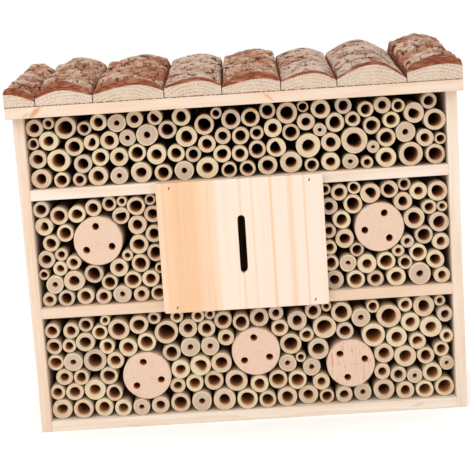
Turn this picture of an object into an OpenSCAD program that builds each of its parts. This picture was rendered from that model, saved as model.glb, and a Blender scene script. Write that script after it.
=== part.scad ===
// Insect hotel: a nailed pine case with three storeys of hollow canes, five drilled logs,
// a butterfly chamber behind a slotted panel, and a roof of bark slabs.
// Millimetres, +Z up, front towards -Y, origin under the middle of the whole hotel.

/* [Case] */
// Width over the two side boards
body_w = 492; // [380:1:700]
// Depth of the side boards, from the front edge to the back board
body_d = 162; // [100:1:240]
// Thickness of every planed board
board_t = 12; // [9:0.5:20]
// Thickness of the plywood back board
back_t = 4; // [3:0.5:8]
// Clear height of the bottom storey
bottom_h = 122; // [95:1:180]
// Clear height of the middle storey
middle_h = 124; // [100:1:180]
// Clear height of the top storey at the front edge of the roof
top_h = 82; // [50:1:140]

/* [Roof] */
// Slope of the roof down to the front, in degrees
roof_slope = 6; // [0:0.5:12]
// How far the roof board passes each side board
side_overhang = 4; // [0:0.5:30]
// How far the roof board passes the front of the case
front_overhang = 20; // [0:1:50]
// Gap between neighbouring bark slabs
slab_gap = 1; // [0.6:0.1:4]
// Scale of the slabs' wood height
slab_rise = 1; // [0.6:0.05:1.6]
// Scale of the bark thickness
bark_rise = 1; // [0.6:0.05:1.6]

/* [Butterfly chamber] */
// Width of the front panel
panel_w = 186; // [120:1:260]
// Thickness of the front panel
panel_t = 10; // [6:0.5:16]
// How far the panel laps over the canes past each divider
panel_lap = 4; // [0:0.5:8]
// Width of the entrance slot
slot_w = 8.5; // [5:0.5:14]
// Height of the entrance slot
slot_h = 66; // [30:1:100]

/* [Filling] */
// Diameter of the drilled logs
log_d = 56; // [40:1:64]
// Diameter of the holes in the logs
log_hole_d = 8; // [4:0.5:10]
// Scale of the canes' diameters
cane_scale = 1; // [0.8:0.05:1.25]
// Gap left between any two fillings
cane_gap = 0.3; // [0.2:0.05:1]
// How far back the foremost cane end lies
recess = 3; // [0:0.5:10]
// How much further back the others lie at most
recess_spread = 5; // [0:0.5:12]
// Solid knot left at the back of each cane
knot_t = 20; // [5:1:40]

/* [Fixings] */
// Diameter of the nails
nail_d = 2; // [1.6:0.1:3]
// Length of the nails
nail_l = 28; // [20:1:40]
// Diameter of the hangers' holes
hanger_hole_d = 8; // [5:0.5:9]
// Length of a hanger plate
hanger_l = 56; // [44:1:80]

/* [Hidden] */
$fn = 48;
eps = 0.02;

pilot_gap = 0.1;            // between a nail and the wood around it
nail_head_d = 2.2 * nail_d;
nail_head_t = 0.5 * nail_d;
hanger_t = 1.5;
screw_d = 3;
screw_l = 16;
screw_head_d = 6;
screw_head_t = 1.8;
hanger_screw_pitch = hanger_l - 16;

// Heights of the boards' undersides
lower_shelf_z = board_t + bottom_h;
upper_shelf_z = lower_shelf_z + board_t + middle_h;
roof_z = upper_shelf_z + board_t + top_h;       // the roof board's, along its front edge
roof_cut = board_t / cos(roof_slope);           // the roof board's height where it is cut plumb
slab_z = roof_z + roof_cut;

// The back fixings stand proud of the back board, and the origin is midway through it all
roof_w = body_w + 2 * side_overhang;
roof_d = front_overhang + body_d + back_t;
whole_d = roof_d + hanger_t + screw_head_t;
roof_y = -whole_d / 2;
front_y = roof_y + front_overhang;
back_y = front_y + body_d;
rear_y = back_y + back_t;
plumb_spare = 20;           // extra length of a slab before its ends are cut plumb

inner_w = body_w - 2 * board_t;
divider_x = panel_w / 2 - panel_lap;   // outer face of each divider
wing_w = inner_w / 2 - divider_x;      // clear width beside the chamber

hanger_x = body_w / 2 - board_t / 2;
hanger_z = roof_z - 16 - hanger_l / 2;

// Roof slabs from left to right: share of the width, height of the wood at the left edge,
// at the crown and at the right edge, place of the crown, thickness of the bark
SLABS = [
    [34, 15, 15, 6, 0.02, 7.5],
    [63, 9, 16, 9, 0.47, 8],
    [78, 9, 17, 9, 0.62, 6],
    [63, 11, 17, 10, 0.63, 4],
    [64, 8, 15, 11, 0.7, 6.5],
    [61, 10, 17, 8, 0.6, 3],
    [76, 9, 22, 5, 0.53, 4],
    [61, 11, 18, 15, 0.68, 8.5],
];
slab_steps = 16;
slab_room = roof_w - (len(SLABS) - 1) * slab_gap;

// The fillings are laid in courses. A course is [from, to, diameters]: where it starts and
// ends as shares of the storey's clear width, and each cane's diameter from left to right.
LOG = log_d / cane_scale;
TOP_COURSES = [
    [0, 1, [23, 18, 16, 22, 20, 24, 20, 22, 25, 18, 18, 22, 25, 16, 21, 18, 14, 23, 27, 23]],
    [0, 1, [21, 26, 21, 20, 21, 20, 23, 20, 18, 20, 19, 20, 22, 28, 22, 30, 14, 21, 23, 20, 25]],
    [0, 1, [14, 22, 21, 18, 21, 19, 25, 24, 20, 19, 20, 16, 21, 20, 15, 22, 17, 20, 19, 23, 24]],
    [0, 1, [20, 25, 16, 24, 21, 28, 21, 21, 23, 22, 21, 20, 24, 20, 28, 18, 27, 15, 18, 24]],
];
LEFT_COURSES = [
    [0, 1, [17, 19, 20, 18, 21, 18, 18]],
    [0, 1, [21, 24, 18, 20, 20]],
    [0.05, 0.8, [17, 22, 21]],
    [0.5, 0.5, [LOG]],
    [0, 0.28, [20, 17]],
    [0.72, 1, [21, 20]],
    [0, 0.25, [15, 19]],
    [0.75, 1, [22, 20]],
    [0, 0.28, [21, 20]],
    [0.72, 1, [22, 20]],
    [0, 1, [21, 20, 19, 20, 21, 21]],
];
RIGHT_COURSES = [
    [0, 1, [22, 21, 19, 22, 26, 19]],
    [0, 1, [18, 20, 22, 21, 16, 21, 20]],
    [0.2, 0.7, [16, 14]],
    [0.46, 0.46, [LOG]],
    [0, 0.25, [17, 22]],
    [0.62, 1, [20, 21]],
    [0, 0.22, [17, 21]],
    [0.7, 1, [24, 23]],
    [0, 0.3, [20, 22]],
    [0.65, 1, [21, 17, 23]],
    [0, 1, [22, 23, 20, 22, 20, 19]],
];
BOTTOM_COURSES = [
    [0, 1, [24, 23, 22, 20, 20, 21, 23, 24, 26, 24, 20, 23, 23, 17, 20, 21, 25, 21, 21, 23]],
    [0.236, 0.236, [LOG]],
    [0.726, 0.726, [LOG]],
    [0, 0.18, [18, 21, 25, 20]],
    [0.29, 0.67, [18, 21, 23, 26, 21, 22, 22, 20]],
    [0.79, 1, [19, 19, 18, 22, 17]],
    [0, 0.17, [20, 18, 21]],
    [0.3, 0.45, [22, 24, 24]],
    [0.5, 0.5, [LOG]],
    [0.55, 0.68, [21, 21, 25]],
    [0.78, 1, [23, 26, 20, 18, 16]],
    [0, 0.19, [19, 22, 27, 20]],
    [0, 0.43, [19, 16, 22, 18, 22, 22, 21, 23, 22, 19]],
    [0.56, 1, [25, 17, 27, 20, 27, 24, 19, 25, 18]],
    [0, 1, [18, 19, 18, 25, 22, 28, 22, 20, 21, 20, 20, 23, 19, 24, 22, 28, 22, 25, 21]],
];
FILL_SIZES = [22, 19, 17, 15, 13, 12];  // canes pushed into what room is left, thickest first
fill_pitch = 16;                    // how close along the storey they are tried
roam = 20;                          // how far a cane may roll from where it is aimed
climb_cost = 1.6;                   // how much a cane prefers a low place to a near one

// Nodes that share one storey's canes: [name, number of nodes]
CANE_NODES = [["top_canes", 6], ["left_canes", 3], ["right_canes", 3], ["bottom_canes", 7]];

// ---- small helpers ----

// A steady value from 0 to 1 that looks random
function chance(a, b) = let (s = sin(a * 127.1 + b * 311.7) * 4375.85) s - floor(s);

function total(list, n) = n <= 0 ? 0 : list[n - 1] + total(list, n - 1);

function mirrored(list) = [for (s = [-1, 1]) for (v = list) s * v];

// ---- laying the fillings ----

// A round is [x, z, radius, order]. x runs from the storey's left wall, z from its floor.

// Where each filling of a course is aimed: spread evenly between the course's ends
function aims(course, w) =
    let (
        d = [for (v = course[2]) v * cane_scale],
        n = len(d),
        room = (course[1] - course[0]) * w,
        spare = n > 1 ? (room - total(d, n)) / n : 0,
        start = n > 1 ? course[0] * w + spare / 2 : course[0] * w - d[0] / 2
    )
    [for (i = [0:n - 1]) [start + total(d, i) + d[i] / 2 + i * spare, d[i] / 2]];

// Canes tried after the courses, all along the storey, to close what gaps are left
function fill_aims(w) =
    [for (d = FILL_SIZES) for (x = [fill_pitch / 2:fill_pitch:w]) [x, d * cane_scale / 2]];

// The place above two rounds where a round of radius r touches both
function above_pair(a, b, r) =
    let (
        ra = a[2] + r + cane_gap,
        rb = b[2] + r + cane_gap,
        dx = b[0] - a[0],
        dz = b[1] - a[1],
        dd = dx * dx + dz * dz,
        along = (ra * ra - rb * rb + dd) / (2 * dd),
        rest = ra * ra / dd - along * along,
        side = rest > 0 ? sqrt(rest) * (dx > 0 ? 1 : -1) : 0
    )
    rest > 0 ? [[a[0] + along * dx - side * dz, a[1] + along * dz + side * dx]] : [];

// The places on the floor where it touches a round on either side
function beside(a, r) =
    let (
        reach = a[2] + r + cane_gap,
        dz = r - a[1],
        rest = reach * reach - dz * dz
    )
    rest > 0 ? [for (s = [-1, 1]) [a[0] + s * sqrt(rest), r]] : [];

// The place above a round where it touches the wall at x = side
function at_wall(a, r, side) =
    let (
        x = side == 0 ? r + cane_gap : side - r - cane_gap,
        reach = a[2] + r + cane_gap,
        dx = x - a[0],
        rest = reach * reach - dx * dx
    )
    rest > 0 ? [[x, a[1] + sqrt(rest)]] : [];

// True where a round of radius r at p stays inside the storey and clear of its neighbours
function fits(p, r, near, w, h) =
    p[0] >= r + cane_gap - eps && p[0] <= w - r - cane_gap + eps
    && p[1] >= r - eps && p[1] <= h - r - cane_gap
    && len([for (c = near) if (norm([p[0] - c[0], p[1] - c[1]]) < c[2] + r + cane_gap - eps) 1]) == 0;

// Lets one filling roll into the best place near its aim: [] where none is free
function settled(aim, done, w, h) =
    let (
        x = min(max(aim[0], aim[1] + cane_gap), w - aim[1] - cane_gap),
        r = aim[1],
        near = [for (c = done) if (abs(c[0] - x) < roam + r + c[2]) c],
        n = len(near),
        places = [
            [x, r],
            for (c = near) each beside(c, r),
            for (c = near) each at_wall(c, r, 0),
            for (c = near) each at_wall(c, r, w),
            for (i = [0:1:n - 2]) for (j = [i + 1:n - 1])
                if (norm([near[i][0] - near[j][0], near[i][1] - near[j][1]])
                    < near[i][2] + near[j][2] + 2 * (r + cane_gap))
                    each above_pair(near[i], near[j], r)
        ],
        free = [for (p = places) if (abs(p[0] - x) < roam && fits(p, r, near, w, h)) p],
        cost = [for (p = free) abs(p[0] - x) + climb_cost * p[1]],
        least = len(cost) == 0 ? 0 : min(cost)
    )
    len(free) == 0 ? [] : [for (i = [0:len(free) - 1]) if (cost[i] == least) free[i]][0];

function is_log(c) = c[2] > log_d / 2 - eps;
function logs_of(rounds) = [for (c = rounds) if (is_log(c)) c];
function canes_of(rounds) = [for (c = rounds) if (!is_log(c)) c];

function without_last_cane(done) =
    let (last = max([for (i = [0:len(done) - 1]) if (!is_log(done[i])) i]))
    [for (i = [0:len(done) - 1]) if (i != last) done[i]];

// Adds one filling. For a log, canes are taken out again until it has room, and a cane without
// room is left out.
function with_next(aim, order, done, w, h) =
    let (p = settled(aim, done, w, h))
    len(p) > 0 ? concat(done, [[p[0], p[1], aim[1], order]])
    : aim[1] > log_d / 2 - eps && len(canes_of(done)) > 0
        ? with_next(aim, order, without_last_cane(done), w, h)
        : done;

function laid(aimed, w, h, done = [], i = 0) =
    i == len(aimed) ? done : laid(aimed, w, h, with_next(aimed[i], i, done, w, h), i + 1);

function filling(courses, w, h) =
    laid(concat([for (c = courses) each aims(c, w)], fill_aims(w)), w, h);

function top_filling() = filling(TOP_COURSES, inner_w, top_h);
function left_filling() = filling(LEFT_COURSES, wing_w, middle_h);
function right_filling() = filling(RIGHT_COURSES, wing_w, middle_h);
function bottom_filling() = filling(BOTTOM_COURSES, inner_w, bottom_h);

// ---- fixings ----

// A nail along +Y from its head's face at y = 0, head let in flush
module nail(grow = 0, length = nail_l) {
    rotate([-90, 0, 0]) {
        cylinder(h = nail_head_t + grow, d = nail_head_d + 2 * grow);
        cylinder(h = length + grow, d = nail_d + 2 * grow);
    }
}

module panel_nail_places() {
    for (x = mirrored([panel_w / 2 - 15]), z = [lower_shelf_z, upper_shelf_z])
        translate([x, front_y - panel_t, z + board_t / 2]) children();
}

module frame_nail_places(side) {
    for (z = [0, lower_shelf_z, upper_shelf_z], y = [0.2, 0.8])
        translate([side * body_w / 2, front_y + y * body_d, z + board_t / 2])
            rotate([0, 0, side * 90]) children();
}

module roof_nail_places() {
    for (x = mirrored([body_w / 2 - board_t / 2]), share = [0.2, 0.8])
        let (y = front_y + share * body_d)
            translate([x, y, roof_under(y) + roof_cut]) rotate([roof_slope - 90, 0, 0]) children();
}

module slab_nail_places() {
    for (i = [0:len(SLABS) - 1], share = [0.25, 0.75])
        let (y = roof_y + share * roof_d)
            translate([slab_x(i) + slab_width(i) / 2, y, roof_under(y)])
                rotate([roof_slope + 90, 0, 0]) children();
}

module back_nail_places() {
    for (x = mirrored([body_w / 2 - board_t / 2]), z = [0.1, 0.35, 0.6])
        translate([x, rear_y, z * roof_z]) rotate([0, 0, 180]) children();
    for (x = mirrored([0.2 * body_w]), z = [0, lower_shelf_z, upper_shelf_z])
        translate([x, rear_y, z + board_t / 2]) rotate([0, 0, 180]) children();
}

module hanger_screw_places() {
    for (x = mirrored([hanger_x]), s = [-1, 1])
        translate([x, rear_y + hanger_t, hanger_z + s * hanger_screw_pitch / 2]) children();
}

slab_nail_l = board_t + 4;
module pilots() {
    panel_nail_places() nail(pilot_gap);
    for (side = [-1, 1]) frame_nail_places(side) nail(pilot_gap);
    roof_nail_places() nail(pilot_gap);
    slab_nail_places() nail(pilot_gap, slab_nail_l);
    back_nail_places() nail(pilot_gap);
    hanger_screw_places()
        rotate([90, 0, 0]) cylinder(h = screw_l + pilot_gap, d = screw_d + 2 * pilot_gap);
}

// ---- case ----

// Height of the roof board's underside at a place along the depth
function roof_under(y) = roof_z + (y - roof_y) * tan(roof_slope);

// Carries an outline in depth and height across part of the width
module across(x, wide) {
    translate([x, 0, 0]) rotate([90, 0, 90]) linear_extrude(height = wide) children();
}

// A planed board with the pilot holes of every nail that meets it
module board(at, size) {
    color("wheat") difference() {
        translate(at) cube(size);
        pilots();
    }
}

// The side boards' tops are cut to the roof's slope, a hair short of the roof board
module side_board(side) {
    color("wheat") difference() {
        across(side > 0 ? body_w / 2 - board_t : -body_w / 2, board_t)
            polygon([
                [front_y, 0],
                [back_y, 0],
                [back_y, roof_under(back_y) - eps],
                [front_y, roof_under(front_y) - eps],
            ]);
        pilots();
    }
}

module inner_board(z) {
    board([-inner_w / 2, front_y, z], [inner_w, body_d, board_t]);
}

module roof_board() {
    color("wheat") difference() {
        across(-roof_w / 2, roof_w) polygon([
            [roof_y, roof_z],
            [rear_y, roof_under(rear_y)],
            [rear_y, roof_under(rear_y) + roof_cut],
            [roof_y, roof_z + roof_cut],
        ]);
        pilots();
    }
}

module divider(side) {
    board([side > 0 ? divider_x - board_t : -divider_x, front_y, lower_shelf_z + board_t],
        [board_t, body_d, middle_h]);
}

module front_panel() {
    tall = middle_h + 2 * board_t;
    color("moccasin") difference() {
        translate([-panel_w / 2, front_y - panel_t, lower_shelf_z]) cube([panel_w, panel_t, tall]);
        pilots();
        translate([0, front_y - panel_t / 2, lower_shelf_z + tall / 2]) rotate([90, 0, 0]) {
            for (s = [-1, 1]) translate([0, s * (slot_h - slot_w) / 2, 0])
                cylinder(h = 2 * panel_t, d = slot_w, center = true);
            cube([slot_w, slot_h - slot_w, 2 * panel_t], center = true);
        }
    }
}

// Covers the whole back, with a pocket behind each hanger's hole for the wall screw's head
module back_board() {
    color("burlywood") difference() {
        translate([-body_w / 2, back_y, 0]) cube([body_w, back_t, roof_under(back_y)]);
        pilots();
        for (x = mirrored([hanger_x])) translate([x, back_y + back_t / 2, hanger_z])
            rotate([90, 0, 0]) cylinder(h = 2 * back_t, d = hanger_hole_d + 2, center = true);
    }
}

// ---- roof slabs ----

function slab_width(i) = SLABS[i][0] * slab_room / total([for (s = SLABS) s[0]], len(SLABS));
function slab_x(i) = i == 0 ? -roof_w / 2 : slab_x(i - 1) + slab_width(i - 1) + slab_gap;

// Height of a slab's wood at the share u of its width: two quarter waves that meet at the crown
function slab_height(s, u) = slab_rise * (
    u < s[4] ? s[1] + (s[2] - s[1]) * sin(90 * u / s[4])
    : s[3] + (s[2] - s[3]) * cos(90 * (u - s[4]) / (1 - s[4])));

function slab_crown(i) =
    [for (k = [0:slab_steps]) [slab_width(i) * k / slab_steps, slab_height(SLABS[i], k / slab_steps)]];

// Carries an outline up the sloping roof, with both ends cut plumb
module along_roof(i) {
    slope_l = roof_d / cos(roof_slope);
    intersection() {
        translate([slab_x(i), roof_y, slab_z]) rotate([roof_slope + 90, 0, 0])
            translate([0, 0, -slope_l - plumb_spare])
                linear_extrude(height = slope_l + 2 * plumb_spare) children();
        translate([-roof_w, roof_y, 0]) cube([2 * roof_w, roof_d, 2 * slab_z]);
    }
}

module slab(i) {
    color("bisque") difference() {
        along_roof(i) polygon(concat(slab_crown(i), [[slab_width(i), 0], [0, 0]]));
        pilots();
    }
}

// The bark follows the crown, thinner towards the slab's edges
module bark(i) {
    crown = slab_crown(i);
    skin = [for (k = [slab_steps:-1:0])
        crown[k] + [0, bark_rise * SLABS[i][5] * (0.6 + 0.4 * sin(180 * k / slab_steps))]];
    color("sienna") along_roof(i) polygon(concat(crown, skin));
}

// ---- fillings ----

// A log has three holes, the first of them turned by some degrees from straight up
module log_at(c, x0, z0, turn) {
    length = body_d - recess;
    hole_l = length - knot_t;
    color("tan") translate([x0 + c[0], front_y + recess, z0 + c[1]]) rotate([-90, 0, 0]) difference() {
        cylinder(h = length - cane_gap, r = c[2], $fn = 96);
        for (k = [0:2]) rotate([0, 0, 120 * k - 90 - turn])
            translate([0.6 * c[2], 0, -1]) cylinder(h = hole_l + 1, d = log_hole_d);
    }
}

// Most canes are hollow, and a few are filled with pith around a narrow channel
function bore_share(order) = chance(order, 1) < 0.07 ? 0.3 : 0.48 + 0.18 * chance(order, 2);

module cane_at(c, x0, z0) {
    start = recess + recess_spread * chance(c[3], 3);
    length = body_d - start - cane_gap;
    color("khaki") translate([x0 + c[0], front_y + start, z0 + c[1]]) rotate([-90, 0, 0]) difference() {
        cylinder(h = length, r = c[2]);
        translate([0, 0, -1]) cylinder(h = length - knot_t + 1, r = c[2] * bore_share(c[3]));
    }
}

// The k-th of n shares of a storey's canes, in the order that they were laid
module cane_share(rounds, x0, z0, k, n) {
    canes = canes_of(rounds);
    for (i = [0:len(canes) - 1]) if (floor(i * n / len(canes)) == k - 1) cane_at(canes[i], x0, z0);
}

module top_canes(k, n) {
    cane_share(top_filling(), -inner_w / 2, upper_shelf_z + board_t, k, n);
}

module left_canes(k, n) {
    cane_share(left_filling(), -inner_w / 2, lower_shelf_z + board_t, k, n);
}

module right_canes(k, n) {
    cane_share(right_filling(), divider_x, lower_shelf_z + board_t, k, n);
}

module bottom_canes(k, n) {
    cane_share(bottom_filling(), -inner_w / 2, board_t, k, n);
}

module left_log() {
    log_at(logs_of(left_filling())[0], -inner_w / 2, lower_shelf_z + board_t, 5);
}

module right_log() {
    log_at(logs_of(right_filling())[0], divider_x, lower_shelf_z + board_t, -21);
}

// The bottom logs are numbered from left to right
module bottom_log(k) {
    laid_order = [0, 2, 1];
    turns = [11, 5, 45];
    log_at(logs_of(bottom_filling())[laid_order[k - 1]], -inner_w / 2, board_t, turns[k - 1]);
}

// ---- nails, hangers and screws ----

module panel_nails() {
    color("silver") panel_nail_places() nail();
}

module frame_nails() {
    color("silver") for (side = [-1, 1]) frame_nail_places(side) nail();
}

module roof_nails() {
    color("silver") roof_nail_places() nail();
}

module slab_nails() {
    color("silver") slab_nail_places() nail(0, slab_nail_l);
}

module back_nails() {
    color("silver") back_nail_places() nail();
}

// A steel plate with a middle hole for the wall hook and a screw hole at each end
module hanger(side) {
    color("lightsteelblue") difference() {
        translate([side * hanger_x - board_t / 2, rear_y, hanger_z - hanger_l / 2])
            cube([board_t, hanger_t, hanger_l]);
        translate([side * hanger_x, rear_y - 1, hanger_z]) rotate([-90, 0, 0])
            cylinder(h = hanger_t + 2, d = hanger_hole_d);
        for (s = [-1, 1])
            translate([side * hanger_x, rear_y - 1, hanger_z + s * hanger_screw_pitch / 2])
                rotate([-90, 0, 0]) cylinder(h = hanger_t + 2, d = screw_d + 2 * pilot_gap);
    }
}

module hanger_screws() {
    color("gainsboro") hanger_screw_places() {
        rotate([-90, 0, 0]) cylinder(h = screw_head_t, d = screw_head_d);
        rotate([90, 0, 0]) cylinder(h = screw_l, d = screw_d);
    }
}

// ---- nodes ----

side_board(-1);  // left_side
side_board(1);  // right_side
inner_board(0);  // base_board
inner_board(lower_shelf_z);  // lower_shelf
inner_board(upper_shelf_z);  // upper_shelf
roof_board();
divider(-1);  // left_divider
divider(1);  // right_divider
front_panel();
back_board();
for (i = [1:len(SLABS)]) slab(i - 1);
for (i = [1:len(SLABS)]) bark(i - 1);
left_log();
right_log();
for (k = [1:3]) bottom_log(k);
for (k = [1:6]) top_canes(k, 6);
for (k = [1:3]) left_canes(k, 3);
for (k = [1:3]) right_canes(k, 3);
for (k = [1:7]) bottom_canes(k, 7);
panel_nails();
frame_nails();
roof_nails();
slab_nails();
back_nails();
hanger(-1);  // left_hanger
hanger(1);  // right_hanger
hanger_screws();
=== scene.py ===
"""Insect hotel: the looks of its boards, bark slabs, logs, canes and fixings, laid out as an add-on.

Lengths are metres, +Z up, the front towards -Y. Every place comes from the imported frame.
"""

import math

import bmesh
import bpy
import numpy as np
from bpy.props import FloatProperty, FloatVectorProperty, IntProperty, PointerProperty
from bpy.types import Operator, Panel, PropertyGroup
from mathutils import Euler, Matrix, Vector


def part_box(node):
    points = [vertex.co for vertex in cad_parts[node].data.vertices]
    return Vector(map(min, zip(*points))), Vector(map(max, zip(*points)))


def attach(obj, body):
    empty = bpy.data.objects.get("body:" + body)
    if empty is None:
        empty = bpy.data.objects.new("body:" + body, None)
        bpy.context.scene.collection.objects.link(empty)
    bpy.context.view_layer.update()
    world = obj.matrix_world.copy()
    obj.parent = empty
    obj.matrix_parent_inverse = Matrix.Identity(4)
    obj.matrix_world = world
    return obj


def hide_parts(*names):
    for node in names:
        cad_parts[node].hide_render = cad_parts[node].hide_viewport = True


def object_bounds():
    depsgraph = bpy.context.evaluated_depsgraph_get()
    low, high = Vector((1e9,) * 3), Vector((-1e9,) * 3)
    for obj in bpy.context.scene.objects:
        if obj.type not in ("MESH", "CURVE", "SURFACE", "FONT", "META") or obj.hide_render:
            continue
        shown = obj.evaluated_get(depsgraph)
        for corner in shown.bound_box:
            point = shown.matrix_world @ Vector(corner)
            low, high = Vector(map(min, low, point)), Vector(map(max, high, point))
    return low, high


bl_info = {
    "name": "Insect hotel",
    "version": (1, 0, 0),
    "blender": (4, 5, 0),
    "location": "3D View > Sidebar > Insect hotel",
    "description": "Builds an insect hotel's boards, bark roof, logs and canes around its packed frame",
    "category": "Add Mesh",
}

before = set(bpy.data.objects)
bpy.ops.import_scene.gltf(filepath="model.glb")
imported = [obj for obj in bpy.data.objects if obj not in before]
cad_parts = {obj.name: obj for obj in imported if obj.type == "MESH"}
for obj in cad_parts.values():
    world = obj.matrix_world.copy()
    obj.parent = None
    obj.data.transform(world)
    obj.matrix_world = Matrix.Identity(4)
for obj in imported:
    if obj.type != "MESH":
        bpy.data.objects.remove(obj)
cad_lo, cad_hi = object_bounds()

MM = 0.001
BODY = "root"
SLAB_COUNT = len([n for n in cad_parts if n.startswith("slab_") and n != "slab_nails"])
CANE_NODES = sorted(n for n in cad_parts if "_canes_" in n)
LOG_NODES = sorted(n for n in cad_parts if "log" in n)


# ---------------------------------------------------------------- reading the frame


def corners(node):
    """A CAD node's mesh corners as rows of x, y, z."""
    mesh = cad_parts[node].data
    flat = np.empty(len(mesh.vertices) * 3, np.float32)
    mesh.vertices.foreach_get("co", flat)
    return flat.reshape(-1, 3).astype(float)


def loose_parts(node):
    """The node's separate solids, each as its corner points.

    Equal corners are joined, then every triangle takes the lowest label of its three corners until
    nothing changes, so each solid ends with one label.
    """
    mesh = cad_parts[node].data
    mesh.calc_loop_triangles()
    triangles = np.empty(len(mesh.loop_triangles) * 3, np.int32)
    mesh.loop_triangles.foreach_get("vertices", triangles)
    points, place = np.unique(np.round(corners(node), 6), axis=0, return_inverse=True)
    triangles = place.reshape(-1)[triangles].reshape(-1, 3)
    label = np.arange(len(points))
    changed = True
    while changed:
        before = label.copy()
        np.minimum.at(label, triangles.ravel(), np.repeat(label[triangles].min(axis=1), 3))
        changed = not np.array_equal(before, label)
    return [points[label == v] for v in np.unique(label)]


def front_outline(node):
    """The highest z at each x of a node's front face, as two arrays."""
    points = corners(node)
    points = points[points[:, 1] < points[:, 1].min() + 1e-5]
    xs, place = np.unique(np.round(points[:, 0], 5), return_inverse=True)
    zs = np.full(len(xs), -1.0)
    np.maximum.at(zs, place.reshape(-1), points[:, 2])
    return xs, zs


def roof_fall():
    """The roof's rise for each metre of depth, and the height of the roof board's front edge."""
    points = corners("roof_board")
    front = points[points[:, 1] < points[:, 1].min() + 1e-5]
    back = points[points[:, 1] > points[:, 1].max() - 1e-5]
    depth = points[:, 1].max() - points[:, 1].min()
    return (back[:, 2].min() - front[:, 2].min()) / depth, front[:, 2].max() - front[:, 2].min()


RISE, ROOF_CUT = roof_fall()


# ---------------------------------------------------------------- noise


def lattice(ix, iy, seed):
    """A steady value from 0 to 1 at whole-number points: the fraction of a large sine."""
    wave = np.sin(ix * 127.1 + iy * 311.7 + seed * 74.7) * 4375.8545
    return wave - np.floor(wave)


def soft_noise(x, y, seed):
    """Lattice values blended across each square with the ease curve 3t^2 - 2t^3."""
    ix, iy = np.floor(x), np.floor(y)
    tx, ty = x - ix, y - iy
    tx, ty = tx * tx * (3 - 2 * tx), ty * ty * (3 - 2 * ty)
    low = lattice(ix, iy, seed) * (1 - tx) + lattice(ix + 1, iy, seed) * tx
    high = lattice(ix, iy + 1, seed) * (1 - tx) + lattice(ix + 1, iy + 1, seed) * tx
    return low * (1 - ty) + high * ty


def layered_noise(x, y, seed, layers=4):
    """Soft noise summed over layers, each twice as fine and half as strong, scaled to 0 to 1."""
    total, reach = 0.0, 0.0
    for k in range(layers):
        total = total + soft_noise(x * 2**k + 17.3 * k, y * 2**k - 9.1 * k, seed + k) / 2**k
        reach += 1 / 2**k
    return total / reach


def cells(x, y, seed):
    """One point is scattered in each square: the distances to the nearest and the next, and the
    nearest's own value."""
    ix, iy = np.floor(x), np.floor(y)
    first, second = np.full(x.shape, 9.0), np.full(x.shape, 9.0)
    value = np.zeros(x.shape)
    for dx in (-1, 0, 1):
        for dy in (-1, 0, 1):
            cx, cy = ix + dx, iy + dy
            px = cx + 0.1 + 0.8 * lattice(cx, cy, seed)
            py = cy + 0.1 + 0.8 * lattice(cx, cy, seed + 5)
            gap = np.hypot(x - px, y - py)
            nearer = gap < first
            second = np.where(nearer, first, np.minimum(second, gap))
            value = np.where(nearer, lattice(cx, cy, seed + 9), value)
            first = np.where(nearer, gap, first)
    return first, second, value


def step(low, high, value):
    """0 below low, 1 above high, and the ease curve between them."""
    t = np.clip((value - low) / (high - low), 0, 1)
    return t * t * (3 - 2 * t)


# ---------------------------------------------------------------- meshes


class Surfaces:
    """Gathers grids of points into one mesh, with a material index and named marks for each grid."""

    def __init__(self):
        self.points, self.faces, self.finishes, self.marks, self.count = [], [], [], {}, 0

    def add(self, grid, finish=0, around=False, **marks):
        """Adds a rows x columns x 3 grid as quads. around joins its last column to its first."""
        rows, columns = grid.shape[:2]
        number = np.arange(rows * columns).reshape(rows, columns) + self.count
        if around:
            number = np.concatenate([number, number[:, :1]], axis=1)
        quads = np.stack([number[:-1, :-1], number[:-1, 1:], number[1:, 1:], number[1:, :-1]], axis=-1)
        self.points.append(grid.reshape(-1, 3))
        self.faces.append(quads.reshape(-1, 4))
        self.finishes.append(np.full(quads.size // 4, finish, np.int32))
        for name, value in marks.items():
            value = np.asarray(value, float)
            width = (3,) if value.ndim == 3 else ()
            full = np.broadcast_to(value, (rows, columns, *width)).reshape(-1, *width)
            self.marks.setdefault(name, []).append(full)
        self.count += rows * columns

    def mesh(self, name, crease=35.0):
        """Puts the grids into one mesh, joins their shared edges and turns every face outwards."""
        points, faces = np.concatenate(self.points), np.concatenate(self.faces)
        mesh = bpy.data.meshes.new(name)
        mesh.vertices.add(len(points))
        mesh.vertices.foreach_set("co", points.astype(np.float32).ravel())
        mesh.loops.add(faces.size)
        mesh.loops.foreach_set("vertex_index", faces.astype(np.int32).ravel())
        mesh.polygons.add(len(faces))
        mesh.polygons.foreach_set("loop_start", np.arange(0, faces.size, 4, dtype=np.int32))
        mesh.polygons.foreach_set("material_index", np.concatenate(self.finishes))
        mesh.update(calc_edges=True)
        for mark, values in self.marks.items():
            value = np.concatenate(values).astype(np.float32)
            vector = value.ndim == 2
            layer = mesh.attributes.new(mark, "FLOAT_VECTOR" if vector else "FLOAT", "POINT")
            layer.data.foreach_set("vector" if vector else "value", value.ravel())
        joined = bmesh.new()
        joined.from_mesh(mesh)
        bmesh.ops.remove_doubles(joined, verts=joined.verts, dist=2e-6)
        bmesh.ops.dissolve_degenerate(joined, edges=joined.edges, dist=1e-7)
        bmesh.ops.recalc_face_normals(joined, faces=joined.faces)
        joined.to_mesh(mesh)
        joined.free()
        finish_shading(mesh, crease)
        return mesh


def finish_shading(mesh, crease):
    """Smooth faces, with a hard edge wherever two faces meet at more than crease degrees."""
    mesh.polygons.foreach_set("use_smooth", np.ones(len(mesh.polygons), bool))
    mesh.set_sharp_from_angle(angle=math.radians(crease))
    mesh.update()


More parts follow.
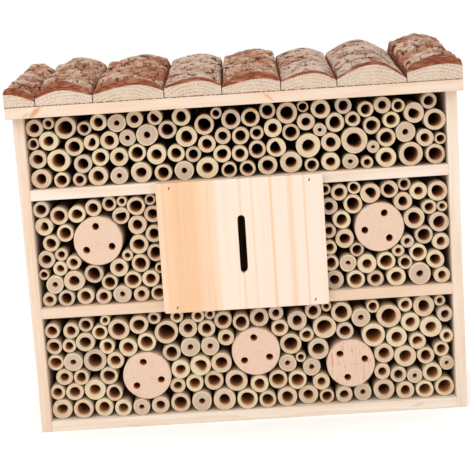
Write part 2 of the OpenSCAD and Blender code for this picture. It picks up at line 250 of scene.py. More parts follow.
def place_piece(name, mesh, materials, nodes):
    """Shows a mesh as a piece of the hotel that stands for CAD nodes."""
    piece = bpy.data.objects.new(name, mesh)
    bpy.context.scene.collection.objects.link(piece)
    for finish in materials[len(mesh.materials):]:
        mesh.materials.append(finish)
    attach(piece, BODY)
    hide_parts(*nodes)
    return piece


def side_grid(fixed, at, lines):
    """A flat grid on one side of a box: axis `fixed` is held at `at`, the other two follow `lines`."""
    a, b = [k for k in range(3) if k != fixed]
    grid = np.empty((len(lines[a]), len(lines[b]), 3))
    grid[..., fixed] = at
    grid[..., a] = lines[a][:, None]
    grid[..., b] = lines[b][None, :]
    return grid


def eased_points(grid, low, high, ease):
    """Rounds a box's edges: each point is drawn to the box shrunk by ease, then pushed out by ease."""
    inner = np.clip(grid, low + ease, high - ease)
    away = grid - inner
    length = np.linalg.norm(away, axis=-1, keepdims=True)
    return inner + away / np.maximum(length, 1e-12) * ease


def edge_lines(low, high, ease, count):
    """Grid lines along one side: close together over the rounded edges and even between them."""
    curve = ease * (1 - np.cos(np.linspace(0, np.pi / 2, 4)))
    between = np.linspace(low + ease, high - ease, count)[1:-1]
    return np.concatenate([low + curve, between, high - curve[::-1]])


def grain_vector(points, low, high, along, seed):
    """Grain coordinates: along the fibres, then across them from a pith line outside the board."""
    across = [k for k in range(3) if k != along]
    middle = (low + high) / 2
    pith = [0.09 * (lattice(seed, k, 3) - 0.5) for k in (0, 1)]
    pith[1] -= math.copysign(0.035, lattice(seed, 4, 3) - 0.5)
    out = np.empty_like(points)
    out[..., 0] = points[..., along] + 3.7 * seed
    out[..., 1] = points[..., across[0]] - middle[across[0]] - pith[0]
    out[..., 2] = points[..., across[1]] - middle[across[1]] - pith[1]
    return out


def board_mesh(name, low, high, along, ease, seed, warmth, lean):
    """A planed board: six flat grids with rounded edges. lean says how far each point is then raised."""
    low, high = np.array(low), np.array(high)
    lines = [edge_lines(low[k], high[k], ease, 24 if k == along else 8) for k in range(3)]
    board = Surfaces()
    for fixed in range(3):
        for at in (low[fixed], high[fixed]):
            grid = eased_points(side_grid(fixed, at, lines), low, high, ease)
            grain = grain_vector(grid, low, high, along, seed)
            grid[..., 2] += lean(grid)
            board.add(grid, grain=grain, warmth=warmth)
    return board.mesh(name)


# ---------------------------------------------------------------- material tools


def colour(*steps):
    """A colour of 0 to 255 steps as linear red, green, blue and alpha."""
    shares = [step / 255 for step in steps]
    return (*[((s + 0.055) / 1.055) ** 2.4 if s > 0.04 else s / 12.92 for s in shares], 1)


class Nodes:
    """A short way to add and join the nodes of one material or group."""

    def __init__(self, tree, material=None):
        self.tree, self.material = tree, material

    def add(self, kind, inputs=None, **settings):
        node = self.tree.nodes.new(kind)
        for key, value in settings.items():
            setattr(node, key, value)
        for key, value in (inputs or {}).items():
            self.feed(node.inputs[key], value)
        return node

    def feed(self, socket, value):
        if isinstance(value, bpy.types.NodeSocket):
            self.tree.links.new(value, socket)
        else:
            socket.default_value = value

    def math(self, operation, a, b=0.0, c=0.0):
        node = self.add("ShaderNodeMath", operation=operation)
        for socket, value in zip(node.inputs, (a, b, c)):
            self.feed(socket, value)
        return node.outputs[0]

    def mix(self, share, a, b, blend="MIX"):
        node = self.add("ShaderNodeMix", data_type="RGBA", blend_type=blend)
        self.feed(node.inputs[0], share)
        self.feed(node.inputs[6], a)
        self.feed(node.inputs[7], b)
        return node.outputs[2]

    def scaled(self, vector, scale):
        node = self.add("ShaderNodeVectorMath", operation="MULTIPLY")
        self.feed(node.inputs[0], vector)
        self.feed(node.inputs[1], scale)
        return node.outputs[0]

    def noise(self, vector, scale, detail=3.0, roughness=0.55):
        inputs = {"Vector": vector, "Scale": scale, "Detail": detail, "Roughness": roughness}
        return self.add("ShaderNodeTexNoise", inputs).outputs["Fac"]

    def streaks(self, vector, stretch, detail=3.0, roughness=0.55):
        """Noise with its own scale on each axis."""
        return self.noise(self.scaled(vector, stretch), 1.0, detail, roughness)

    def span(self, value, low, high, out_low=0.0, out_high=1.0):
        node = self.add("ShaderNodeMapRange", interpolation_type="SMOOTHSTEP")
        for socket, number in zip(node.inputs, (value, low, high, out_low, out_high)):
            self.feed(socket, number)
        return node.outputs[0]

    def mark(self, name, vector=False):
        node = self.add("ShaderNodeAttribute", attribute_name=name)
        return node.outputs["Vector" if vector else "Fac"]

    def tint(self, base, tone, value, low, high, end=1.0, start=0.0):
        """base turned to tone by a share from start to end, as value goes from low to high."""
        return self.mix(self.span(value, low, high, start, end), base, tone)

    def place(self):
        """The piece's own coordinates."""
        return self.add("ShaderNodeTexCoord").outputs["Object"]

    def length(self, vector):
        return self.add("ShaderNodeVectorMath", {0: vector}, operation="LENGTH").outputs["Value"]

    def bump(self, height, distance, strength=1.0):
        inputs = {"Height": height, "Distance": distance, "Strength": strength}
        return self.add("ShaderNodeBump", inputs).outputs[0]


def new_material(name):
    """The node helper of a new, empty material."""
    material = bpy.data.materials.new(name)
    material.use_nodes = True
    material.node_tree.nodes.clear()
    return Nodes(material.node_tree, material)


def shaded(n, base, roughness, normal, metallic=0.0, specular=0.3):
    """Ends a material with its Principled shader and gives it back. Plain numbers go on the sockets."""
    shader = n.add("ShaderNodeBsdfPrincipled", {"Metallic": metallic, "Specular IOR Level": specular})
    n.feed(shader.inputs["Base Color"], base)
    n.feed(shader.inputs["Roughness"], roughness)
    n.feed(shader.inputs["Normal"], normal)
    output = n.add("ShaderNodeOutputMaterial")
    n.tree.links.new(shader.outputs[0], output.inputs[0])
    return n.material


def new_group(name, inputs, outputs):
    """A shader node group with named sockets: inputs are (name, kind, default), outputs (name, kind)."""
    tree = bpy.data.node_groups.new(name, "ShaderNodeTree")
    for label, kind, default in inputs:
        socket = tree.interface.new_socket(name=label, in_out="INPUT", socket_type=kind)
        if default is not None:
            socket.default_value = default
    for label, kind in outputs:
        tree.interface.new_socket(name=label, in_out="OUTPUT", socket_type=kind)
    n = Nodes(tree)
    return tree, n, n.add("NodeGroupInput").outputs, n.add("NodeGroupOutput").inputs


def use_group(n, tree, **values):
    """Places a group in a material. Underscores in a value's name stand for spaces in the socket's."""
    node = n.add("ShaderNodeGroup", node_tree=tree)
    for key, value in values.items():
        n.feed(node.inputs[key.replace("_", " ")], value)
    return node.outputs


FLOAT, VECTOR = "NodeSocketFloat", "NodeSocketVector"


def ring_phase(n, reach, shake, wander, width):
    """Where each point is in its growth ring, from 0 to 1: distance shaken by noise, over the width."""
    shaken = n.math("MULTIPLY_ADD", shake, wander, reach)
    return n.math("FRACT", n.math("DIVIDE", shaken, width))


def growth_rings():
    """Rings about the grain's X axis: distance from it, shaken by noise that is long along the grain,
    cut into pale early wood and narrow dark late wood. Fibre is fine streaks along the grain."""
    tree, n, given, made = new_group(
        "Growth Rings",
        [("Grain", VECTOR, None), ("Ring Width", FLOAT, 0.003), ("Wander", FLOAT, 0.006)],
        [("Late Wood", FLOAT), ("Fibre", FLOAT), ("Height", FLOAT)],
    )
    slow = n.streaks(given["Grain"], (3.2, 22, 22), 2.0)
    fine = n.streaks(given["Grain"], (14, 120, 120), 2.0)
    ripple = n.math("MULTIPLY", n.math("SUBTRACT", fine, 0.5), 0.12)
    shake = n.math("ADD", n.math("SUBTRACT", slow, 0.5), ripple)
    reach = n.length(n.scaled(given["Grain"], (0, 1, 1)))
    phase = ring_phase(n, reach, shake, given["Wander"], given["Ring Width"])
    late = n.math("MULTIPLY", n.math("POWER", phase, 2.4), n.span(phase, 0.88, 1.0, 1.0, 0.0))
    fibre = n.streaks(given["Grain"], (26, 1500, 1500))
    n.feed(made["Late Wood"], late)
    n.feed(made["Fibre"], fibre)
    n.feed(made["Height"], n.math("MULTIPLY_ADD", late, 0.5, fibre))
    return tree


def end_grain():
    """Sawn end grain: rings about the grain's X axis, rays that fan out from it, pores and saw marks."""
    tree, n, given, made = new_group(
        "End Grain",
        [("Grain", VECTOR, None), ("Ring Width", FLOAT, 0.003), ("Saw Marks", FLOAT, 0.5)],
        [("Late Wood", FLOAT), ("Rays", FLOAT), ("Height", FLOAT)],
    )
    across = n.scaled(given["Grain"], (0, 1, 1))
    shake = n.math("SUBTRACT", n.noise(across, 55.0, 2.0), 0.5)
    phase = ring_phase(n, n.length(across), shake, 0.004, given["Ring Width"])
    late = n.math("MULTIPLY", n.math("POWER", phase, 2.0), n.span(phase, 0.85, 1.0, 1.0, 0.0))
    around = n.add("ShaderNodeVectorMath", {0: across}, operation="NORMALIZE").outputs[0]
    rays = n.streaks(around, (38, 38, 38), 2.0)
    parts = n.add("ShaderNodeSeparateXYZ", {0: given["Grain"]}).outputs
    sweep = n.math("MULTIPLY_ADD", parts[2], 2100.0, n.math("MULTIPLY", parts[1], 500.0))
    saw = n.math("MULTIPLY", n.math("SINE", sweep), given["Saw Marks"])
    rough = n.math("MULTIPLY_ADD", saw, 0.3, n.noise(across, 2600.0, 2.0))
    n.feed(made["Late Wood"], late)
    n.feed(made["Rays"], rays)
    n.feed(made["Height"], n.math("MULTIPLY_ADD", rays, 0.4, rough))
    return tree


# ---------------------------------------------------------------- materials


# Knot marks on the boards' faces: place x and z, length and width in mm, turn in degrees, strength
KNOTS = (
    (-217, 370, 12, 3.5, 42, 0.95),
    (-228, 367, 6, 2, 30, 0.5),
    (38, 371, 9, 2, -40, 0.7),
    (-88, 139, 3, 2, 20, 0.8),
    (190, 6, 8, 2, 10, 0.35),
)


def planed_pine(looks, groups):
    """Pale planed pine: faint growth lines and fibres along the board, warm clouds and a few knots."""
    n = new_material("planed_pine")
    grain, warmth = n.mark("grain", vector=True), n.mark("warmth")
    wood = use_group(n, groups["rings"], Grain=grain, Ring_Width=0.0042, Wander=0.014)
    cloud = n.streaks(grain, (9, 60, 60))
    tint = n.math("MULTIPLY_ADD", n.math("SUBTRACT", cloud, 0.5), 2.2, warmth)
    ground = n.tint(looks.pine_pale, looks.pine_warm, tint, -0.2, 1.2)
    base = n.mix(n.math("MULTIPLY", wood["Late Wood"], 0.4), ground, looks.pine_dark)
    streak = n.streaks(grain, (5, 160, 160))
    base = n.tint(base, looks.pine_dark, streak, 0.52, 0.85, 0.25)
    base = n.tint(base, looks.pine_knot, wood["Fibre"], 0.55, 0.8, 0.12)
    place = n.place()
    for x, z, long, wide, turn, weight in KNOTS:
        centre = (x * MM, 0, z * MM)
        spot = n.add("ShaderNodeVectorMath", {0: place, 1: centre}, operation="SUBTRACT").outputs[0]
        turned = {"Vector": spot, "Rotation": (0, math.radians(turn), 0)}
        spot = n.scaled(n.add("ShaderNodeMapping", turned).outputs[0], (1000 / long, 0, 1000 / wide))
        reach = n.math("MULTIPLY_ADD", cloud, 0.8, n.length(spot))
        base = n.tint(base, looks.pine_knot, reach, 1.6, 0.5, weight)
    rough = n.span(wood["Fibre"], 0.2, 0.8, 0.55, 0.72)
    return shaded(n, base, rough, n.bump(wood["Height"], 0.00012, 0.4))


# The panel's orange bands: place across it, half width, strength
PANEL_BANDS = (
    (0.5, 0.014, 0.45),
    (0.57, 0.012, 0.4),
    (0.685, 0.016, 0.7),
    (0.8, 0.032, 0.5),
    (0.885, 0.01, 0.65),
)


def panel_pine(looks, groups):
    """The front panel's glued staves: a peach stave on the left, cream ones with soft orange bands."""
    n = new_material("panel_pine")
    grain, share = n.mark("grain", vector=True), n.mark("share")
    wood = use_group(n, groups["rings"], Grain=grain, Ring_Width=0.0045, Wander=0.016)
    wave = n.math("SUBTRACT", n.streaks(grain, (5, 0, 0), 1.0), 0.5)
    swayed = n.math("MULTIPLY_ADD", wave, 0.035, share)
    streak = n.streaks(grain, (2.5, 110, 110), 4.0)
    heart = n.math("ABSOLUTE", n.math("SUBTRACT", swayed, 0.15))
    warm = n.tint(looks.panel_peach, looks.panel_deep, heart, 0.04, 0.16, 0.0, 0.75)
    warm = n.tint(warm, looks.panel_deep, streak, 0.45, 0.65, 0.7)
    thread = n.streaks(grain, (3, 420, 420))
    warm = n.tint(warm, looks.pine_dark, thread, 0.52, 0.72, 0.45)
    cream = n.tint(looks.panel_cream, looks.pine_warm, streak, 0.45, 0.8, 0.35)
    base = n.tint(cream, warm, share, 0.33, 0.375, 0.0, 1.0)
    bands = 0.0
    for place, width, weight in PANEL_BANDS:
        gap = n.math("ABSOLUTE", n.math("SUBTRACT", swayed, place))
        bands = n.math("MAXIMUM", bands, n.span(gap, 0.0, width, weight, 0.0))
    base = n.mix(n.math("MULTIPLY", wood["Late Wood"], 0.12), base, looks.pine_dark)
    base = n.mix(bands, base, looks.panel_band)
    base = n.tint(base, looks.pine_knot, wood["Fibre"], 0.5, 0.8, 0.1)
    rough = n.span(wood["Fibre"], 0.2, 0.8, 0.5, 0.68)
    return shaded(n, base, rough, n.bump(wood["Height"], 0.00012, 0.4))


def slab_end(looks, groups):
    """The slabs' sawn ends: pale torn end grain, arcs that centre below, a dark broken lower edge."""
    n = new_material("slab_end_grain")
    grain, dirt, above = n.mark("grain", vector=True), n.mark("dirt"), n.mark("above")
    wood = use_group(n, groups["end"], Grain=grain, Ring_Width=0.0038, Saw_Marks=1.0)
    ground = n.mix(dirt, looks.slab_pale, looks.slab_grey)
    patch = n.noise(grain, 90.0, 3.0)
    rings = n.math("MULTIPLY", wood["Late Wood"], n.span(patch, 0.35, 0.65, 0.4, 1.0))
    base = n.mix(rings, ground, looks.slab_ring)
    base = n.tint(base, looks.slab_ring, wood["Rays"], 0.5, 0.75, 0.25)
    speck = n.noise(n.scaled(grain, (0, 1, 1.6)), 580.0, 4.0, 0.75)
    base = n.tint(base, looks.slab_ring, speck, 0.55, 0.61, 0.95)
    base = n.tint(base, looks.slab_chip, speck, 0.47, 0.38, 0.8)
    dots = n.noise(n.scaled(grain, (0, 1, 0.4)), 420.0, 2.0)
    foot = n.math("MULTIPLY", n.span(above, 1.6, 0.3), n.span(dots, 0.42, 0.56))
    base = n.mix(foot, base, looks.bark_crevice)
    relief = n.math("ADD", wood["Height"], speck)
    return shaded(n, base, 0.85, n.bump(relief, 0.0006, 0.8), specular=0.15)


def log_end(looks, groups):
    """The logs' sawn ends: pinkish beige with a few faint rings and a fine slanting sawn nap."""
    n = new_material("log_end_grain")
    grain = n.mark("grain", vector=True)
    wood = use_group(n, groups["end"], Grain=grain, Ring_Width=0.0034, Saw_Marks=0.6)
    base = n.mix(n.math("MULTIPLY", wood["Late Wood"], 0.3), looks.log_pale, looks.log_ring)
    slanted = {"Vector": grain, "Rotation": (0.85, 0, 0), "Scale": (1, 900, 160)}
    lines = n.noise(n.add("ShaderNodeMapping", slanted).outputs[0], 1.0, 3.0)
    base = n.tint(base, looks.log_ring, lines, 0.5, 0.72, 0.5)
    blotch = n.noise(grain, 110.0, 4.0)
    base = n.tint(base, looks.log_ring, blotch, 0.5, 0.8, 0.4)
    split = n.math("ABSOLUTE", n.math("SUBTRACT", n.streaks(grain, (0, 150, 14), 2.0), 0.5))
    split = n.math("MULTIPLY", n.span(split, 0.013, 0.003), n.mark("checks"))
    base = n.mix(n.math("MULTIPLY", split, 0.6), base, looks.hole_light)
    relief = n.math("ADD", wood["Height"], lines)
    return shaded(n, base, 0.85, n.bump(relief, 0.0003, 0.7), specular=0.15)


def drilled_wood(looks, groups):
    """A drilled hole's wall: orange-red at the mouth, then red-brown, then dark; the darkening with depth
    is painted shade.
    """
    n = new_material("drilled_wood")
    depth = n.mark("deep")
    scratch = n.streaks(n.place(), (300, 2500, 300))
    # Painted shade: the wall turns red-brown, then dark, the deeper it lies in the hole; the same dark
    # colour also marks the real scratch streaks.
    wall = n.tint(looks.hole_mouth, looks.hole_light, depth, 2.0, 14.0)
    wall = n.tint(wall, looks.hole_dark, depth, 12.0, 60.0)
    base = n.tint(wall, looks.hole_dark, scratch, 0.45, 0.7, 0.4)
    return shaded(n, base, 0.8, n.bump(scratch, 0.0003, 0.7), specular=0.15)


def peeled_wood(looks, groups):
    """The logs' debarked sides: tan, with long streaks."""
    n = new_material("peeled_wood")
    streak = n.streaks(n.place(), (260, 18, 260), 4.0)
    base = n.tint(looks.log_pale, looks.log_ring, streak, 0.3, 0.7)
    return shaded(n, base, 0.75, n.bump(streak, 0.0004, 0.6), specular=0.2)


def bark_skin(looks, groups):
    """Flaky bark: dark crevices deepened with painted shade, red-brown feet of the flakes, and beige to
    grey plates on top, the highest ones paler with a painted highlight.
    """
    n = new_material("bark_skin")
    relief, flake, height, age = [n.mark(name) for name in ("relief", "flake", "height", "age")]
    place = n.place()
    mottle = n.noise(n.scaled(place, (1, 0.6, 1)), 140.0, 5.0, 0.7)
    fine = n.noise(n.scaled(place, (1, 0.5, 1)), 620.0, 5.0, 0.75)
    worn = n.math("ADD", n.math("MULTIPLY", age, 0.35), mottle)
    plate = n.tint(looks.bark_plate, looks.bark_rust, flake, 0.4, 0.95)
    plate = n.tint(plate, looks.bark_grey, worn, 0.5, 0.8)
    top = n.math("ADD", height, n.math("MULTIPLY", n.math("SUBTRACT", fine, 0.5), 1.1))
    base = n.tint(looks.bark_rust, plate, top, 0.25, 0.85)
    # Painted highlight: the highest plates turn paler, over the bark's weathered grey.
    base = n.tint(base, looks.bark_pale, top, 0.85, 1.25, 0.7)
    # Painted shade: the crevices between plates and the feet of the flakes turn near black, over their
    # own dark cork.
    gap = n.math("ADD", relief, n.math("MULTIPLY", n.math("SUBTRACT", mottle, 0.5), 1.2))
    base = n.tint(base, looks.bark_crevice, gap, 0.75, 0.1, 0.9)
    base = n.tint(base, looks.bark_crevice, fine, 0.46, 0.36, 0.65)
    return shaded(n, base, 0.9, n.bump(n.math("ADD", fine, mottle), 0.0014, 1.0), specular=0.1)


def bark_cut(looks, groups):
    """The bark's sawn edge: layered dark red-brown cork with paler streaks."""
    n = new_material("bark_cut_edge")
    place = n.place()
    layers = n.streaks(place, (120, 300, 900), 4.0, 0.7)
    broad = n.streaks(place, (60, 20, 260))
    base = n.tint(looks.bark_cut_dark, looks.bark_cut_light, layers, 0.4, 0.66)
    base = n.tint(base, looks.bark_plate, broad, 0.5, 0.7, 0.6)
    return shaded(n, base, 0.9, n.bump(layers, 0.0009, 0.9), specular=0.1)


def cane_cut(looks, groups):
    """A cane's cut end: cream, pinkish or grey wall with a pale outer line that is a painted highlight;
    pith where it is filled.
    """
    n = new_material("cane_cut_end")
    reach, tone, pith = n.mark("reach"), n.mark("tone"), n.mark("pith")
    place = n.place()
    dots = n.noise(n.scaled(place, (1, 0.3, 1)), 2400.0, 3.0)
    cloud = n.noise(place, 260.0, 3.0)
    base = n.tint(looks.cane_cream, looks.cane_pink, tone, 0.2, 0.55)
    base = n.tint(base, looks.cane_grey, tone, 0.82, 0.95)
    base = n.tint(base, looks.cane_tan, reach, 0.3, 0.0, 0.4)
    # Painted highlight: a pale line round the outer edge of the cut wall.
    base = n.tint(base, looks.cane_rim, reach, 0.72, 0.9, 0.6)
    base = n.tint(base, looks.cane_tan, dots, 0.55, 0.75, 0.45)
    base = n.tint(base, looks.cane_tan, cloud, 0.5, 0.75, 0.3)
    spongy = n.tint(looks.pith_pale, looks.pith_dark, dots, 0.4, 0.65)
    base = n.mix(n.math("MULTIPLY", pith, n.span(reach, 0.85, 0.75)), base, spongy)
    return shaded(n, base, 0.72, n.bump(dots, 0.0004, 0.6), specular=0.2)


def cane_skin(looks, groups):
    """A cane's outside: straw with brown streaks and a faint sheen, and painted shade that turns it dark
    brown with depth behind the cut end.
    """
    n = new_material("cane_skin")
    tone, depth = n.mark("tone"), n.mark("deep")
    streak = n.streaks(n.place(), (700, 30, 700))
    base = n.tint(looks.cane_straw, looks.cane_skin, tone, 0.0, 1.0)
    base = n.tint(base, looks.cane_brown, streak, 0.45, 0.75, 0.5)
    # Painted shade: the skin turns dark brown a little way behind the cut end, where the canes hide each
    # other.
    base = n.tint(base, looks.cane_deep, depth, 0.02, 0.15)
    rough = n.span(streak, 0.3, 0.7, 0.45, 0.65)
    return shaded(n, base, rough, n.bump(streak, 0.0002, 0.6))


def cane_bore(looks, groups):
    """The inside of a cane: beige at the mouth, then orange-brown, then dark; the darkening with depth is
    painted shade.
    """
    n = new_material("cane_bore")
    depth, tone = n.mark("reach"), n.mark("tone")
    streak = n.streaks(n.place(), (900, 60, 900))
    brown = n.tint(looks.bore_orange, looks.bore_brown, tone, 0.2, 0.8)
    # Painted shade: the bore turns from beige at the mouth to brown a few millimetres in, and dark
    # further down.
    wall = n.tint(looks.bore_mouth, brown, depth, 0.0, -0.06)
    wall = n.tint(wall, looks.bore_brown, streak, 0.45, 0.75, 0.35)
    base = n.tint(wall, looks.bore_dark, depth, -0.05, -0.9)
    return shaded(n, base, 0.8, n.bump(streak, 0.0003, 0.6), specular=0.15)


def brad_steel(looks, groups):
    """The panel's small brads: dull brown with grey patches."""
    n = new_material("brad_steel")
    patch = n.noise(n.place(), 900.0, 3.0)
    base = n.tint(looks.brad, looks.steel_dark, patch, 0.5, 0.7, 0.5)
    return shaded(n, base, 0.5, n.bump(patch, 0.0001, 0.5), metallic=0.4)


def sheet_ply(looks, groups):
    """The plywood back: broad rotary-cut figure in warm tan."""
    n = new_material("back_plywood")
    grain = n.mark("grain", vector=True)
    wood = use_group(n, groups["rings"], Grain=grain, Ring_Width=0.009, Wander=0.09)
    base = n.mix(n.math("MULTIPLY", wood["Late Wood"], 0.55), looks.ply_pale, looks.ply_dark)
    base = n.tint(base, looks.ply_dark, wood["Fibre"], 0.45, 0.8, 0.3)
    return shaded(n, base, 0.7, n.bump(wood["Height"], 0.00015, 0.5))


def bright_steel(looks, groups):
    """Zinc-bright steel of nails, screws and hangers, with faint spangle and dull patches."""
    n = new_material("bright_steel")
    spangle = n.noise(n.place(), 700.0, 3.0)
    base = n.tint(looks.steel_light, looks.steel_dark, spangle, 0.35, 0.7)
    rough = n.span(spangle, 0.3, 0.7, 0.3, 0.5)
    return shaded(n, base, rough, n.bump(spangle, 0.00005, 0.4), metallic=1.0, specular=0.5)


def studio_floor(looks, groups):
    """The plain pale floor, with the faintest unevenness."""
    n = new_material("studio_floor")
    cloud = n.noise(n.place(), 3.0, 2.0)
    base = n.tint(looks.floor, (0.8, 0.8, 0.8, 1), cloud, 0.3, 0.7, 0.06)
    return shaded(n, base, 0.9, n.bump(cloud, 0.0001, 0.1), specular=0.1)


GROUPS = {}
MATERIALS = {}


def material(context, maker):
    """What a material's maker makes, made once, with the shared groups made first."""
    if not GROUPS:
        GROUPS.update(rings=growth_rings(), end=end_grain())
    if maker not in MATERIALS:
        MATERIALS[maker] = maker(context.scene.hotel_looks, GROUPS)
    return MATERIALS[maker]


# ---------------------------------------------------------------- shapes


def circle(count):
    """Even angles, once round."""
    return np.linspace(0, 2 * np.pi, count, endpoint=False)


def panel_mesh(sizes):
    """The front panel as one ring-shaped surface round its slot.

    Around: the angle about the slot's middle. Across: from the slot's rim over the front face, the
    outer edge, the back face and the slot's wall back to the rim. The rim is a stadium, the outer
    edge a rectangle, and points between them are blended in a straight line. A small splinter
    stands at the slot's lower right.
    """
    low, high = (np.array(corner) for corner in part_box("front_panel"))
    middle, half = (low + high) / 2, (high - low) / 2
    points = corners("front_panel") - middle
    near = (np.abs(points[:, 0]) < half[0] / 3) & (np.abs(points[:, 2]) < half[2] * 0.8)
    slot_half = points[near].max(axis=0)[[0, 2]]
    turn = circle(240)
    way = np.stack([np.cos(turn), np.sin(turn)], axis=-1)
    outer = way / np.maximum(np.abs(way[:, :1]) / half[0], np.abs(way[:, 1:]) / half[2])
    straight = slot_half[1] - slot_half[0]
    reach = slot_half[0] / np.maximum(np.abs(way[:, 0]), 1e-6)
    on_side = np.abs(reach * way[:, 1]) <= straight
    lift = straight * np.abs(way[:, 1])
    round_end = lift + np.sqrt(np.maximum(lift**2 - straight**2 + slot_half[0] ** 2, 0))
    rim = way * np.where(on_side, reach, round_end)[:, None]
    ease = sizes.edge_ease * MM
    splinter = np.stack([3 * MM * np.exp(-(((turn - 4.81) / 0.035) ** 2)), 0 * turn], axis=-1)
    shares = np.concatenate([[0, 0.006], np.linspace(0.012, 1, 14)])
    rows = []
    for side in (-1, 1):
        face = []
        for k, share in enumerate(shares):
            ring = rim * (1 - share) + outer * share
            if side < 0 and k < 2:
                ring = ring - splinter
            pull = ease if k == 0 else ease * 0.3 if k == 1 else 0.0
            y = middle[1] + side * (half[1] - pull)
            x, z = middle[[0, 2], None] + ring.T
            face.append(np.stack([x, np.full(len(turn), y), z], axis=-1))
        rows += face if side < 0 else face[::-1]
    grid = np.array(rows + rows[:1])
    grid = np.concatenate([grid, grid[:, :1]], axis=1)
    share = (grid[..., 0] - low[0]) / (high[0] - low[0])
    panel = Surfaces()
    panel.add(grid, grain=grain_vector(grid, low, high, 2, 5), share=share)
    return panel.mesh("front_panel_board")


def slab_shapes(index):
    """The wood of one roof slab: its outline carried up the roof's slope, with rough sawn ends.

    The underside and the crown are grids from end to end, and so are the two sides between them.
    Each end is a grid from the underside up to the crown, pushed in by noise, with chips broken
    from its lower edge. The outermost sides are sawn as the ends are.
    """
    node = f"slab_{index}"
    low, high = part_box(node)
    xs, zs = front_outline(node)
    across, along, layers = 48, 30, 14
    x = np.linspace(low[0], high[0], across)
    crown = np.interp(x, xs, zs)
    slab = Surfaces()
    pith_x = (low[0] + high[0]) / 2 + 0.012 * (lattice(index, 1, 8) - 0.5)
    pith_z = low[2] - 0.03 - 0.03 * lattice(index, 2, 8)
    lift = np.concatenate([[0, 0.04], np.linspace(0.1, 1, layers - 2)])
    end_z = low[2] + (crown[None, :] - low[2]) * lift[:, None]
    rough = 0.7 * MM * layered_noise(x[None, :] / 0.003, end_z / 0.003, index)
    rough = rough * np.minimum(1, 6 * (1 - lift))[:, None] + 0.9 * MM * (1 - step(0, 0.1, lift))[:, None]
    chips = step(0.62, 0.8, layered_noise(x / 0.005, 0 * x + index, index + 4))
    rough = rough + 1.2 * MM * (1 - step(0, 0.16, lift))[:, None] * chips[None, :]
    front_y, back_y = low[1] + 0.25 * MM + rough, high[1] - 0.25 * MM - rough

    def add(px, py, pz, finish=0):
        px, py, pz = np.broadcast_arrays(px, py, pz)
        points = np.stack([px, py, pz + RISE * (py - low[1])], axis=-1)
        grain = np.stack([py, px - pith_x, pz - pith_z], axis=-1)
        slab.add(points, finish, grain=grain, dirt=lattice(index, 3, 3), above=(pz - low[2]) / MM)

    add(x[None, :], front_y, end_z)
    add(x[None, :], back_y, end_z)
    share = np.linspace(0, 1, along)[:, None]
    for row, height in ((0, np.full(across, low[2])), (-1, crown)):
        add(x[None, :], front_y[row][None] * (1 - share) + back_y[row][None] * share, height[None, :], 1)
    for column in (0, -1):
        depth = front_y[:, column][:, None] * (1 - share.T) + back_y[:, column][:, None] * share.T
        outermost = index == (1 if column == 0 else SLAB_COUNT)
        add(x[column], depth, end_z[:, column][:, None], 0 if outermost else 1)
    return slab.mesh(f"slab_wood_{index}")


def ledges(noise, count, lip):
    """A noise cut into flat steps with steep edges, and how near each point is to the foot of an edge."""
    part = noise * count
    edge = step(0.0, lip, part - np.floor(part))
    return (np.floor(part) + edge) / count, edge


def bark_relief(x, y, index, rough):
    """How high the bark stands, each point's value for the painted shade in the crevices, and each
    plate's own value.

    Plates are cells, longer along the trunk than across it, with their borders shaken by noise.
    Each plate is stepped twice by layered noise, coarsely and finely, as flakes leave it.
    """
    warp_x = 1.5 * (layered_noise(x / 0.010, y / 0.012, index + 20) - 0.5)
    warp_y = 1.5 * (layered_noise(x / 0.010, y / 0.012, index + 30) - 0.5)
    wide = 0.017 + 0.005 * lattice(index, 7, 2)
    first, second, value = cells(x / wide + warp_x, y / (1.5 * wide) + warp_y, index + 40)
    crack = step(0.0, 0.2, second - first)
    coarse, foot = ledges(layered_noise(x / 0.016, y / 0.022, index + 50, 3), 7, 0.12)
    fine, heel = ledges(layered_noise(x / 0.0055, y / 0.008, index + 60, 3), 6, 0.2)
    grit = layered_noise(x / 0.0022, y / 0.003, index + 70, 3)
    shape = 0.5 * (value - 0.5) + 2.2 * (coarse - 0.5) + 0.7 * (fine - 0.5) + 0.12 * (grit - 0.5)
    height = (0.72 + rough * shape) * (1 - rough * 0.75 * (1 - crack))
    # Painted shade goes where plates part and at the foot of each step.
    crevice_shade = np.minimum(crack, np.minimum(0.35 + 0.65 * foot, 0.55 + 0.45 * heel))
    return np.clip(height, 0.06, 1.3), crevice_shade, value


# Each roof slab's bark: how rough it is, and how weathered
SLAB_BARK = (
    (0.9, 0.25), (0.95, 0.25), (1.0, 0.15), (0.75, 0.7),
    (1.0, 0.2), (0.7, 0.8), (0.6, 1.1), (1.0, 0.1),
)


